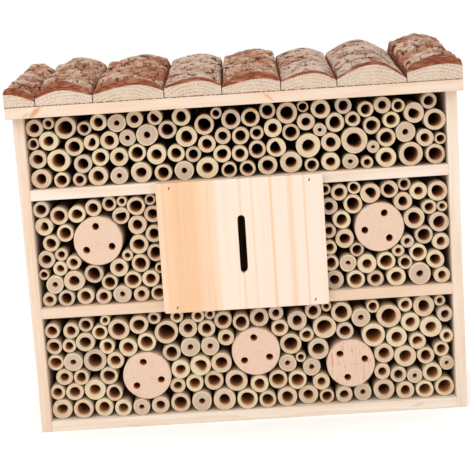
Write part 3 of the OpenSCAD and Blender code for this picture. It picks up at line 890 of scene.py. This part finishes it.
def bark_shapes(index, sizes):
    """The bark on one slab: a closed block between the slab's crown and a plated surface.

    The top is a grid over the slab, at the crown's height plus the bark's thickness times the relief.
    Its shoulders fall away in a quarter circle, and slow noise raises some of it towards the bark's
    highest point. At the two sawn ends the relief gives way to a wavy cut line, and uneven walls
    join that to the crown.
    """
    node = f"bark_{index}"
    rough, age = SLAB_BARK[(index - 1) % len(SLAB_BARK)]
    low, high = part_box(node)
    wood_x, wood_z = front_outline(f"slab_{index}")
    skin_x, skin_z = front_outline(node)
    x = np.linspace(low[0], high[0], int((high[0] - low[0]) / (sizes.bark_grid * MM)))
    y = np.linspace(low[1], high[1], int((high[1] - low[1]) / (sizes.bark_grid * MM)))
    gx, gy = np.meshgrid(x, y)
    crown = np.interp(x, wood_x, wood_z)
    thick = np.interp(x, skin_x, skin_z) - crown
    relief, crevice_shade, value = bark_relief(gx, gy, index, rough * sizes.bark_relief)
    near_end = 1 - step(1 * MM, 5 * MM, np.minimum(gy - low[1], high[1] - gy))
    wavy = layered_noise(gx / 0.007, 0 * gx + 3 * (gy > 0), index + 75)
    cut_line = 0.2 + 0.85 * rough + 0.34 * wavy
    height = relief * (1 - near_end) + near_end * cut_line
    edge = np.minimum(x - low[0], high[0] - x) / (3 * MM)
    shoulder = np.sqrt(np.clip(edge * (2 - edge), 0.0, 1.0) * (edge < 1) + (edge >= 1)).clip(0.25, 1)
    top = crown + 0.2 * MM + (thick - 0.2 * MM) * height * shoulder[None, :]
    swell = layered_noise(gx / 0.022, gy / 0.03, index + 85, 2)
    spread = 0.55 * rough**2 * step(0.004, 0.07, gy - low[1]) * (1 - near_end)
    raised = step(0.3, 0.6, swell) * (skin_z.max() - top) * spread
    top = top + raised * shoulder[None, :]
    slope = RISE * (gy - low[1])
    notch = 1.6 * MM * near_end * layered_noise(gx / 0.005, 0 * gx + 5 * (gy > 0), index + 80)
    shift = np.where(gy < (low[1] + high[1]) / 2, notch, -notch) * step(0.5, 0.9, height)
    middle = (low[0] + high[0]) / 2
    pinch = 1 - 0.05 * layered_noise(gy / 0.012, 0 * gy + index, index + 90)
    px = middle + (gx - middle) * pinch
    surface = np.stack([px, gy + shift, top + slope], axis=-1)
    bottom = np.stack([px, gy, crown + slope], axis=-1)
    bark = Surfaces()
    # The value for the painted shade in the crevices, held even at the sawn ends.
    crevice_shade_mark = crevice_shade * (1 - near_end) + 0.5 * near_end
    bark.add(surface, 0, relief=crevice_shade_mark, flake=value, height=height, age=age)
    plain = {"relief": 0.5, "flake": 0.5, "height": 0.5, "age": age}
    bark.add(bottom, 1, **plain)
    lift = np.linspace(0, 1, 6)[:, None, None]
    for row, inward in ((0, 1), (-1, -1)):
        wall = bottom[row][None] * (1 - lift) + surface[row][None] * lift
        dent = layered_noise(wall[..., 0] / 0.004, wall[..., 2] / 0.0015, index + 3)
        wall[..., 1] += inward * 0.9 * MM * np.sin(np.pi * lift[..., 0]) * dent
        bark.add(wall, 1, **plain)
    for column in (0, -1):
        wall = bottom[:, column][None] * (1 - lift) + surface[:, column][None] * lift
        bark.add(wall, 1, **plain)
    return bark.mesh(f"bark_skin_{index}", crease=50.0)


def round_grid(centre, radii, depths, turn):
    """Rings about the Y axis through centre, one for each radius and depth."""
    radii = np.broadcast_to(np.asarray(radii, float), (len(depths), len(turn)))
    depths = np.broadcast_to(np.asarray(depths, float).reshape(len(depths), -1), radii.shape)
    x = centre[0] + radii * np.cos(turn)
    z = centre[1] + radii * np.sin(turn)
    return np.stack([x, depths, z], axis=-1)


def log_mesh(node, order, sizes):
    """A peeled log: rings along its side and over a small chamfer at the front, and a cap on each end.

    The drilled holes are cut from it afterwards.
    """
    low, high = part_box(node)
    front, back = low[1], high[1]
    radius = (high[0] - low[0]) / 2
    centre = ((low[0] + high[0]) / 2, (low[2] + high[2]) / 2)
    turn = circle(96)
    swells = 0.012 * (1 + np.sin(2 * turn + 7 * order)) + 0.008 * (1 + np.sin(5 * turn + 3 * order))
    wave = 1 - swells / 2
    chamfer = sizes.log_chamfer * MM
    inner = 1 - chamfer / radius
    pith = (0, centre[0] + 0.1 * radius * math.cos(order), centre[1] + 0.1 * radius * math.sin(order))
    log = Surfaces()

    def add(grid, finish):
        log.add(grid, finish, around=True, grain=grid[..., [1, 0, 2]] - pith, checks=float(order == 2))

    side = radius * np.array([1, 1, 1, inner])[:, None] * wave
    add(round_grid(centre, side, [back, (front + back) / 2, front + chamfer, front], turn), 1)
    shares = np.linspace(inner, 0, 22)
    for y, ring in ((front, shares), (back, shares / inner)):
        cap = round_grid(centre, radius * ring[:, None] * wave, np.full(len(ring), y), turn)
        fuzz = layered_noise(cap[..., 0] / 0.0016, cap[..., 2] / 0.0016, order) - 0.5
        cap[1:-1, :, 1] += 0.12 * MM * fuzz[1:-1]
        add(cap, 0)
    return log.mesh(f"{node}_wood")


def drill_mesh(node, order):
    """The solids that a log's holes are cut with: closed tubes that start before its face.

    Corners of the CAD log well inside its rim are on its holes. They fall into three equal turns
    about its middle, and each hole's place and radius are those of its corners' box.
    """
    points = corners(node)
    low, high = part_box(node)
    centre = np.array([low[0] + high[0], low[2] + high[2]]) / 2
    off = points[:, [0, 2]] - centre
    far = np.hypot(*off.T)
    inside = far < 0.95 * (high[0] - low[0]) / 2
    rim = off[inside & (far > 1e-4)]
    ends = points[inside & (points[:, 1] < high[1] - 1 * MM)][:, 1]
    angle = np.arctan2(rim[:, 1], rim[:, 0])
    start = angle[np.argmax(np.hypot(rim[:, 0], rim[:, 1]))]
    share = np.round((angle - start) / (2 * np.pi / 3)).astype(int) % 3
    turn = circle(32)
    drills = Surfaces()
    for k in range(3):
        hole = rim[share == k]
        middle = (hole.min(axis=0) + hole.max(axis=0)) / 2
        size = (hole.max(axis=0) - hole.min(axis=0)).max() / 2
        rings = size * np.array([0, 1, 1, 0])[:, None] * (1 + 0.04 * np.sin(2 * turn + order + k))
        depths = [low[1] - 2 * MM, low[1] - 2 * MM, ends.max(), ends.max()]
        drills.add(round_grid(centre + middle, rings, depths, turn), around=True)
    return drills.mesh(f"{node}_drills")


def drilled_log(context, node, order, sizes):
    """A peeled log with its holes cut out of it, with the drilled walls in their own material."""
    solid = bpy.data.objects.new("solid", log_mesh(node, order, sizes))
    drill = bpy.data.objects.new("drill", drill_mesh(node, order))
    for part in (solid, drill):
        context.scene.collection.objects.link(part)
    solid.data.materials.append(material(context, log_end))
    solid.data.materials.append(material(context, peeled_wood))
    drill.data.materials.append(material(context, drilled_wood))
    cut = solid.modifiers.new("holes", "BOOLEAN")
    cut.object, cut.operation, cut.solver = drill, "DIFFERENCE", "EXACT"
    cut.material_mode = "TRANSFER"
    made = bpy.data.meshes.new_from_object(solid.evaluated_get(context.evaluated_depsgraph_get()))
    materials = list(made.materials)
    for part in (solid, drill):
        mesh = part.data
        bpy.data.objects.remove(part)
        bpy.data.meshes.remove(mesh)
    made.name = f"{node}_wood"
    place = np.empty(3 * len(made.vertices))
    made.vertices.foreach_get("co", place)
    deep = made.attributes.new("deep", "FLOAT", "POINT")
    deep.data.foreach_set("value", (place[1::3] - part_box(node)[0].y) / MM)
    finish_shading(made, 35.0)
    return made, materials


def cane_rings(points, rng, sizes, canes):
    """Adds one cane: rings from its back, along the skin, over the cut end and down its bore.

    The skin and the bore are circles with two and three slow swells, and one bore in twenty is
    pressed flat on one side. A few ends are ragged, as a blunt saw leaves them.
    """
    low, high = points.min(axis=0), points.max(axis=0)
    centre = (low + high)[[0, 2]] / 2
    off = np.hypot(points[:, 0] - centre[0], points[:, 2] - centre[1])
    radius = off.max()
    bore = off[off > radius * 0.12].min()
    bore_end = points[np.abs(off - bore) < 1e-5][:, 1].max()
    front, back = low[1], high[1]
    turn = circle(sizes.cane_sides)
    swell = rng.uniform(0, 2 * np.pi, 4)
    oval = sizes.cane_oval * rng.uniform(0.2, 1)
    flatter = oval * (1 + np.sin(2 * turn + swell[0])) / 2
    outer = radius * (1 - flatter - 0.01 * (1 + np.sin(3 * turn + swell[1])))
    pith = bore < 0.36 * radius
    tone = rng.uniform()
    shake = rng.uniform(0.01, 0.06)
    hole = bore * (1 + shake * np.sin(2 * turn + swell[2]) + 0.6 * shake * np.sin(3 * turn + swell[3]))
    if rng.uniform() < 0.05:
        side = np.maximum(np.cos(turn - swell[1]), 0.3)
        flat = bore * rng.uniform(0.5, 0.75) / side
        hole = (hole**-5 + flat**-5) ** -0.2
    hole = np.minimum(hole, outer * 0.86)
    ragged = rng.uniform() < 0.09
    bite = 0.15 * MM + (0.9 * MM if ragged else 0.1 * MM)
    rim_y = front + bite * rng.uniform(0, 1, len(turn))
    slope = rng.uniform(-0.25, 0.25, 2) * MM
    tilt = slope[0] * np.cos(turn) + slope[1] * np.sin(turn)
    tilt = tilt - tilt.min()
    level_y = np.ones(len(turn))
    skin_y = np.stack([back * level_y, front + 0.7 * MM + tilt])
    skin = round_grid(centre, np.stack([outer, outer]), skin_y, turn)
    deep = np.broadcast_to([[1.0], [0.0]], skin.shape[:2])
    shared = {"around": True, "tone": tone, "pith": float(pith)}
    canes.add(skin, 0, reach=1.0, deep=deep, **shared)
    cut_r = np.stack([outer, outer - 0.35 * MM, (outer + hole) / 2, hole + 0.25 * MM, hole])
    body_y = rim_y + 0.4 * tilt
    cut_y = np.stack([skin_y[1], front + 0.1 * MM + tilt, body_y + 0.2 * tilt, body_y, rim_y + 0.5 * MM])
    reach = (cut_r - hole) / np.maximum(outer - hole, 1e-5)
    canes.add(round_grid(centre, cut_r, cut_y, turn), 1, reach=reach, deep=0.0, **shared)
    bore_r = np.stack([hole, hole * 0.97, hole * 0.93, hole * 0])
    bore_y = np.stack([cut_y[-1], (front + 7 * MM) * level_y, bore_end * level_y, bore_end * level_y])
    reach = np.broadcast_to([[0.0], [-0.12], [-1.0], [-1.0]], bore_r.shape)
    canes.add(round_grid(centre, bore_r, bore_y, turn), 2, reach=reach, deep=0.0, **shared)
    end = round_grid(centre, np.stack([outer, outer * 0]), np.full((2, len(turn)), back), turn)
    canes.add(end, 1, reach=0.5, deep=1.0, **shared)


def cane_mesh(node, seed, sizes):
    """All the canes of one CAD node, each its own shape, in one mesh."""
    rng = np.random.default_rng(seed)
    canes = Surfaces()
    parts = sorted(loose_parts(node), key=lambda p: (round(p[:, 2].min(), 4), round(p[:, 0].min(), 4)))
    for points in parts:
        cane_rings(points, rng, sizes, canes)
    return canes.mesh(node, crease=40.0)


def brad_mesh():
    """The panel's brads: a thin shank and a slanted oblong head that stands just clear of the panel.

    Rings run from the point to the head's face; the head is an ellipse turned about the Y axis.
    """
    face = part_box("front_panel")[0].y
    brads = Surfaces()
    turn = circle(24)
    for order, points in enumerate(loose_parts("panel_nails")):
        centre = (points.min(axis=0) + points.max(axis=0))[[0, 2]] / 2
        around = turn + 0.25 + 0.6 * lattice(order, 4, 9)
        head = 1 / np.hypot(np.cos(around) / (0.8 * MM), np.sin(around) / (1.9 * MM))
        shank = np.full(len(turn), 0.5 * MM)
        radii = np.stack([0 * head, 0.4 * shank, shank, shank, head, head, 0.8 * head, 0 * head])
        end = points[:, 1].max()
        depths = [end, end, end - 2 * MM, *(face + MM * np.array([1, 0.2, -0.1, -0.2, -0.15]))]
        brads.add(round_grid(centre, radii, depths, turn), around=True)
    return brads.mesh("panel_brads")


# ---------------------------------------------------------------- settings


def setting(name, default, low, high, description):
    return FloatProperty(name=name, default=default, min=low, max=high, description=description)


def paint(name, steps):
    """A colour setting whose shown name is its own name in plain words."""
    label = name.replace("_", " ").capitalize()
    return FloatVectorProperty(
        name=label, subtype="COLOR", size=4, min=0, max=1, default=colour(*steps),
        description=f"{label}, in linear light",
    )


class HotelSizes(PropertyGroup):
    """Sizes of the surface detail. Millimetres where a length."""

    edge_ease: setting("Edge rounding", 0.6, 0.1, 2, "Radius of the planed boards' edges, mm")
    bark_grid: setting("Bark grid", 0.75, 0.4, 4, "Spacing of the bark's surface points, mm")
    bark_relief: setting("Bark relief", 0.85, 0, 1, "Share of the bark's thickness its plates take")
    log_chamfer: setting("Log chamfer", 0.8, 0.1, 3, "Broken edge of the logs' ends, mm")
    cane_oval: setting("Cane oval", 0.06, 0, 0.2, "How far from round the canes are")
    cane_sides: IntProperty(
        name="Cane sides", default=24, min=12, max=48, description="Points round each cane"
    )


# Each finish's colour, in steps of 0 to 255
PAINTS = {
    "pine_pale": (225, 211, 195),
    "pine_warm": (215, 185, 160),
    "pine_dark": (208, 173, 138),
    "pine_knot": (196, 140, 96),
    "panel_cream": (230, 209, 191),
    "panel_peach": (230, 197, 167),
    "panel_deep": (222, 175, 134),
    "panel_band": (220, 174, 131),
    "ply_pale": (226, 196, 152),
    "ply_dark": (190, 146, 100),
    "slab_pale": (221, 202, 184),
    "slab_grey": (214, 194, 173),
    "slab_ring": (171, 131, 99),
    "slab_chip": (231, 218, 205),
    "log_pale": (218, 189, 167),
    "log_ring": (199, 164, 138),
    "hole_mouth": (228, 140, 98),
    "hole_light": (180, 100, 64),
    # Painted shade deep in the drilled holes, and the colour of the holes' scratch streaks
    "hole_dark": (104, 52, 34),
    "bark_plate": (183, 134, 105),
    "bark_rust": (152, 96, 68),
    "bark_grey": (199, 173, 154),
    # Paler weathered bark on the highest plates, with a painted highlight
    "bark_pale": (212, 188, 170),
    # The bark's dark cork in its crevices, with painted shade; also the slabs' dark lower edge
    "bark_crevice": (64, 34, 24),
    "bark_cut_light": (166, 96, 66),
    "bark_cut_dark": (100, 52, 37),
    "cane_cream": (212, 193, 161),
    "cane_pink": (205, 179, 151),
    "cane_grey": (194, 174, 155),
    # Painted highlight round the canes' cut ends
    "cane_rim": (222, 206, 172),
    "cane_tan": (177, 144, 112),
    "cane_straw": (204, 184, 150),
    "cane_skin": (184, 162, 136),
    "cane_brown": (146, 104, 72),
    # Painted shade on the canes' sides between them
    "cane_deep": (104, 78, 57),
    "pith_pale": (201, 180, 158),
    "pith_dark": (175, 149, 125),
    "bore_mouth": (220, 190, 150),
    "bore_orange": (208, 156, 102),
    "bore_brown": (176, 124, 86),
    # Painted shade deep in the canes' bores
    "bore_dark": (122, 80, 54),
    "brad": (112, 80, 58),
    "steel_light": (205, 205, 202),
    "steel_dark": (140, 140, 138),
    "floor": (255, 255, 255),
}


class HotelLooks(PropertyGroup):
    """Colours of the woods, bark, canes, steel and floor."""

    __annotations__ = {name: paint(name, steps) for name, steps in PAINTS.items()}


# ---------------------------------------------------------------- operators

LENGTHWAYS, UPRIGHT = 0, 2
# Each board: the way its grain runs, and how warm its wood is
BOARDS = {
    "left_side": (UPRIGHT, 0.55),
    "right_side": (UPRIGHT, 0.25),
    "base_board": (LENGTHWAYS, 0.1),
    "lower_shelf": (LENGTHWAYS, 0.7),
    "upper_shelf": (LENGTHWAYS, 0.15),
    "roof_board": (LENGTHWAYS, 0.7),
    "left_divider": (UPRIGHT, 0.2),
    "right_divider": (UPRIGHT, 0.2),
}


def level(points):
    """No lean."""
    return 0.0


def board_top(node, low, high):
    """A board's top corner before it leans, and the function that says how far its points are raised.

    The roof board rises with the roof's slope from its front edge. A side's rise grows evenly from
    nothing at its foot to the roof's at its top. The other boards lie level.
    """
    if node == "roof_board":
        return Vector((high.x, high.y, low.z + ROOF_CUT)), lambda p: RISE * (p[..., 1] - low.y)
    if not node.endswith("_side"):
        return high, level
    top = Vector((high.x, high.y, high.z - RISE * (high.y - low.y)))
    return top, lambda p: RISE * (p[..., 1] - low.y) * (p[..., 2] - low.z) / (top.z - low.z)


class HOTEL_OT_boards(Operator):
    """Make the planed boards of the case with rounded edges and running grain"""

    bl_idname = "hotel.boards"
    bl_label = "Boards"

    def execute(self, context):
        ease = context.scene.hotel_sizes.edge_ease * MM
        for seed, (node, (along, warmth)) in enumerate(BOARDS.items()):
            low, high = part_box(node)
            high, lean = board_top(node, low, high)
            mesh = board_mesh(f"{node}_board", low, high, along, ease, seed + 1, warmth, lean)
            place_piece(f"{node}_board", mesh, [material(context, planed_pine)], [node])
        return {"FINISHED"}


class HOTEL_OT_back(Operator):
    """Make the plywood back"""

    bl_idname = "hotel.back"
    bl_label = "Back"

    def execute(self, context):
        low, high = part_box("back_board")
        mesh = board_mesh("back_sheet", low, high, UPRIGHT, 0.3 * MM, 21, 0.0, level)
        place_piece("back_sheet", mesh, [material(context, sheet_ply)], ["back_board"])
        return {"FINISHED"}


class HOTEL_OT_panel(Operator):
    """Make the slotted front panel"""

    bl_idname = "hotel.panel"
    bl_label = "Front panel"

    def execute(self, context):
        mesh = panel_mesh(context.scene.hotel_sizes)
        finish = material(context, panel_pine)
        place_piece("front_panel_board", mesh, [finish], ["front_panel"])
        finish = material(context, brad_steel)
        place_piece("panel_brads", brad_mesh(), [finish], ["panel_nails"])
        return {"FINISHED"}


class HOTEL_OT_slabs(Operator):
    """Make the roof slabs' wood with sawn ends"""

    bl_idname = "hotel.slabs"
    bl_label = "Roof slabs"

    def execute(self, context):
        finishes = [material(context, slab_end), material(context, bark_cut)]
        for k in range(1, SLAB_COUNT + 1):
            mesh = slab_shapes(k)
            place_piece(f"slab_wood_{k}", mesh, finishes, [f"slab_{k}"])
        return {"FINISHED"}


class HOTEL_OT_bark(Operator):
    """Make the plated bark on the roof slabs"""

    bl_idname = "hotel.bark"
    bl_label = "Bark"

    def execute(self, context):
        finishes = [material(context, bark_skin), material(context, bark_cut)]
        for k in range(1, SLAB_COUNT + 1):
            mesh = bark_shapes(k, context.scene.hotel_sizes)
            place_piece(f"bark_skin_{k}", mesh, finishes, [f"bark_{k}"])
        return {"FINISHED"}


class HOTEL_OT_logs(Operator):
    """Make the drilled logs"""

    bl_idname = "hotel.logs"
    bl_label = "Logs"

    def execute(self, context):
        for order, node in enumerate(LOG_NODES):
            mesh, finishes = drilled_log(context, node, order, context.scene.hotel_sizes)
            place_piece(f"{node}_wood", mesh, finishes, [node])
        return {"FINISHED"}


class HOTEL_OT_canes(Operator):
    """Make the hollow canes, each with its own shape and tone"""

    bl_idname = "hotel.canes"
    bl_label = "Canes"

    def execute(self, context):
        finishes = [material(context, maker) for maker in (cane_skin, cane_cut, cane_bore)]
        for seed, node in enumerate(CANE_NODES):
            mesh = cane_mesh(node, seed + 1, context.scene.hotel_sizes)
            place_piece(f"{node}_ends", mesh, finishes, [node])
        return {"FINISHED"}


class HOTEL_OT_fixings(Operator):
    """Give the nails, screws and hangers their steel"""

    bl_idname = "hotel.fixings"
    bl_label = "Fixings"

    def execute(self, context):
        for name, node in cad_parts.items():
            if name.endswith(("nails", "screws", "hanger")) and name != "panel_nails":
                node.data.materials.clear()
                node.data.materials.append(material(context, bright_steel))
        return {"FINISHED"}


class HOTEL_OT_stage(Operator):
    """Make the floor, the lights and the camera"""

    bl_idname = "hotel.stage"
    bl_label = "Stage"

    def execute(self, context):
        make_floor(context)
        make_lights(context)
        make_camera(context)
        return {"FINISHED"}


def make_floor(context):
    """A wide flat grid under the hotel."""
    line = np.linspace(-6, 6, 9)
    gx, gy = np.meshgrid(line, line)
    ground = Surfaces()
    ground.add(np.stack([gx, gy, np.full(gx.shape, cad_lo[2] - 0.1 * MM)], axis=-1))
    mesh = ground.mesh("floor")
    if mesh.polygons[0].normal.z < 0:
        mesh.flip_normals()
    mesh.materials.append(material(context, studio_floor))
    floor = bpy.data.objects.new("floor", mesh)
    context.scene.collection.objects.link(floor)


# Each light: name, direction from the hotel, distance, size, power
LIGHTS = (
    ("key", (-0.5, -1.0, 0.8), 1.9, 1.2, 10),
    ("fill", (0.9, -1.0, 0.35), 2.2, 1.8, 2),
    ("top", (0.1, -0.1, 1.0), 1.8, 1.4, 5),
)


def make_lights(context):
    """Soft panels at the front and above, in a bright even room."""
    middle = (cad_lo + cad_hi) / 2
    for name, way, distance, size, power in LIGHTS:
        light = bpy.data.lights.new(name, "AREA")
        light.shape, light.size, light.energy = "SQUARE", size, power
        lamp = bpy.data.objects.new(name, light)
        context.scene.collection.objects.link(lamp)
        way = Vector(way).normalized()
        lamp.location = middle + way * distance
        lamp.rotation_euler = (-way).to_track_quat("-Z", "Y").to_euler()
    world = bpy.data.worlds.new("room")
    world.use_nodes = True
    world.node_tree.nodes["Background"].inputs["Color"].default_value = (1, 1, 1, 1)
    world.node_tree.nodes["Background"].inputs["Strength"].default_value = 1.0
    context.scene.world = world
    context.scene.view_settings.view_transform = "Standard"


LENS = 95.7
CAMERA_FROM_FRONT = Vector((0.0155, -1.3833, 0.4618))
CAMERA_YAW, CAMERA_TILT, CAMERA_ROLL = -0.98, 10.02, -3.78


def make_camera(context):
    """A long lens in front of the hotel, a little above it and slightly rolled."""
    data = bpy.data.cameras.new("camera")
    data.sensor_width, data.lens = 36, LENS
    camera = bpy.data.objects.new("camera", data)
    context.scene.collection.objects.link(camera)
    camera.location = Vector((0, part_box("left_side")[0].y, 0)) + CAMERA_FROM_FRONT
    yaw, tilt = math.radians(CAMERA_YAW), math.radians(CAMERA_TILT)
    ahead = Vector((math.sin(yaw) * math.cos(tilt), math.cos(yaw) * math.cos(tilt), -math.sin(tilt)))
    roll = Euler((0, 0, math.radians(CAMERA_ROLL))).to_matrix()
    camera.rotation_euler = (ahead.to_track_quat("-Z", "Y").to_matrix() @ roll).to_euler()
    context.scene.camera = camera


class HOTEL_PT_sidebar(Panel):
    """Lists the hotel's steps, sizes and colours"""

    bl_idname = "HOTEL_PT_sidebar"
    bl_label = "Insect hotel"
    bl_space_type = "VIEW_3D"
    bl_region_type = "UI"
    bl_category = "Insect hotel"

    def draw(self, context):
        steps = self.layout.column(align=True)
        for operator in STEPS:
            steps.operator(operator.bl_idname)
        for settings in (context.scene.hotel_sizes, context.scene.hotel_looks):
            box = self.layout.box()
            for name in settings.__annotations__:
                box.prop(settings, name)


STEPS = (
    HOTEL_OT_boards,
    HOTEL_OT_back,
    HOTEL_OT_panel,
    HOTEL_OT_slabs,
    HOTEL_OT_bark,
    HOTEL_OT_logs,
    HOTEL_OT_canes,
    HOTEL_OT_fixings,
    HOTEL_OT_stage,
)
CLASSES = (HotelSizes, HotelLooks, *STEPS, HOTEL_PT_sidebar)


def register():
    for item in CLASSES:
        bpy.utils.register_class(item)
    bpy.types.Scene.hotel_sizes = PointerProperty(type=HotelSizes)
    bpy.types.Scene.hotel_looks = PointerProperty(type=HotelLooks)


def unregister():
    del bpy.types.Scene.hotel_looks
    del bpy.types.Scene.hotel_sizes
    for item in reversed(CLASSES):
        bpy.utils.unregister_class(item)


def main():
    """Makes every piece and the stage."""
    register()
    for operator in STEPS:
        family, name = operator.bl_idname.split(".")
        getattr(getattr(bpy.ops, family), name)()


if __name__ == "__main__":
    main()
